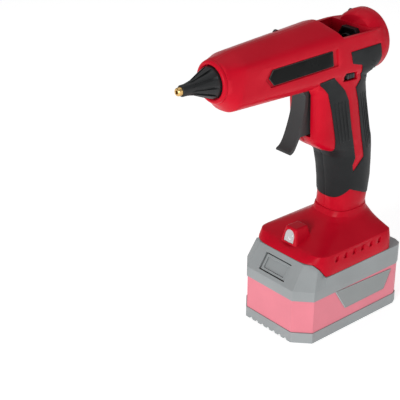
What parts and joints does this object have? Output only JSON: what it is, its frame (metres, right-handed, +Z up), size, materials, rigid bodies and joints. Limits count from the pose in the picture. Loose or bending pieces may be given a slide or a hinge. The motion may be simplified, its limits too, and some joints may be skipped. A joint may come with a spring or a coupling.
{
  "type": "cordless glue gun",
  "caption": "Pistol-grip hot-glue gun with finned nozzle, tapered barrel, stick window, finger lever and slide-on battery pack.",
  "frame": {"origin": "centre of the object's box on the face the battery pack stands on", "axes": "+X from the nozzle to the rear, +Y to the gun's right side, +Z up; the mid-plane of the gun is Y = 0"},
  "size_m": [0.2038, 0.076, 0.2462],
  "materials": {
    "red_shell": "fine moulded texture, satin",
    "grip_rubber": "matte, finely grained",
    "black_plate": "smooth, semi-gloss, blank",
    "black_plastic": "moulded",
    "trigger_grey": "fine moulded texture",
    "black_silicone": "matte silicone",
    "clear_silicone": "translucent white silicone",
    "brass": "turned",
    "aluminium": "die cast",
    "heater_ceramic": "film-wrapped ceramic",
    "insulator": "phenolic",
    "bright_steel": "polished",
    "spring_steel": "drawn wire",
    "screw_steel": "black zinc",
    "grey_nylon": "glass-filled nylon",
    "board_green": "solder resist",
    "wire_silicone": "silicone insulation",
    "contact_copper": "plated copper",
    "clear_lens": "clear polycarbonate",
    "pack_grey": "moulded, pale grey",
    "pack_pink": "moulded, pale red",
    "pack_plate": "smooth, blank",
    "cell_wrap": "shrink film"
  },
  "bodies": {
    "root": {"housing_left": "red_shell", "housing_right": "red_shell", "nose_ring": "red_shell", "foot_shell": "red_shell", "grip_left": "grip_rubber", "grip_right": "grip_rubber", "badge_left": "black_plate", "badge_right": "black_plate", "housing_screws": "screw_steel", "brass_nozzle": "brass", "nozzle_sleeve": "black_silicone", "ball_spring": "spring_steel", "heat_chamber": "aluminium", "heater_element": "heater_ceramic", "heater_clip": "spring_steel", "front_insulator": "insulator", "inlet_sleeve": "clear_silicone", "sleeve_clamp": "bright_steel", "carriage_spring": "spring_steel", "trigger_pin": "bright_steel", "stick_cradle": "black_plastic", "stick_guide": "black_plastic", "inlet_funnel": "black_plastic", "switch_body": "black_plastic", "control_board": "board_green", "board_parts": "black_plastic", "wiring": "wire_silicone", "led_lens": "clear_lens", "led_board": "board_green", "terminal_block": "black_plastic", "terminal_blades": "contact_copper"},
    "valve_ball": {"check_ball": "bright_steel"},
    "lever": {"trigger": "trigger_grey"},
    "carriage": {"feed_carriage": "grey_nylon", "jaw_pin": "bright_steel"},
    "jaw": {"feed_jaw": "bright_steel"},
    "switch": {"switch_slider": "trigger_grey"},
    "battery": {"pack_top": "pack_grey", "pack_band": "pack_pink", "pack_base": "pack_grey", "pack_cells": "cell_wrap", "pack_contacts": "contact_copper", "pack_label_left": "pack_plate", "pack_label_right": "pack_plate", "button_spring": "spring_steel"},
    "button": {"release_button": "pack_grey"}
  },
  "joints": [
    {"name": "trigger_pivot", "type": "hinge", "parent": "root", "child": "lever", "pos_m": [0.012, 0, 0.201], "axis": [0, -1, 0], "range_deg": [0, 13], "stiffness_Nm_per_rad": 0.6, "springref_deg": -8.59, "deforming": ["carriage_spring"]},
    {"name": "carriage_slide", "type": "slide", "parent": "root", "child": "carriage", "axis": [-1, 0, 0], "range_m": [0, 0.0052], "deforming": ["carriage_spring"]},
    {"name": "jaw_pivot", "type": "hinge", "parent": "carriage", "child": "jaw", "pos_m": [0.0186, 0, 0.2134], "axis": [0, -1, 0], "range_deg": [0, 4]},
    {"name": "switch_slide", "type": "slide", "parent": "root", "child": "switch", "axis": [-1, 0, 0], "range_m": [0, 0.003]},
    {"name": "valve_slide", "type": "slide", "parent": "root", "child": "valve_ball", "axis": [-1, 0, 0], "range_m": [0, 0.001], "stiffness_N_per_m": 150, "deforming": ["ball_spring"]},
    {"name": "battery_slide", "type": "slide", "parent": "root", "child": "battery", "axis": [-1, 0, 0], "range_m": [0, 0.1]},
    {"name": "button_press", "type": "slide", "parent": "battery", "child": "button", "axis": [0.829, 0, -0.5592], "range_m": [0, 0.0022], "stiffness_N_per_m": 900, "springref_m": -0.001, "deforming": ["button_spring"]}
  ],
  "couplings": [
    {"joint": "carriage_slide", "follows": "trigger_pivot", "m_per_rad": 0.0215},
    {"joint": "jaw_pivot", "follows": "trigger_pivot", "ratio": 0.3}
  ]
}
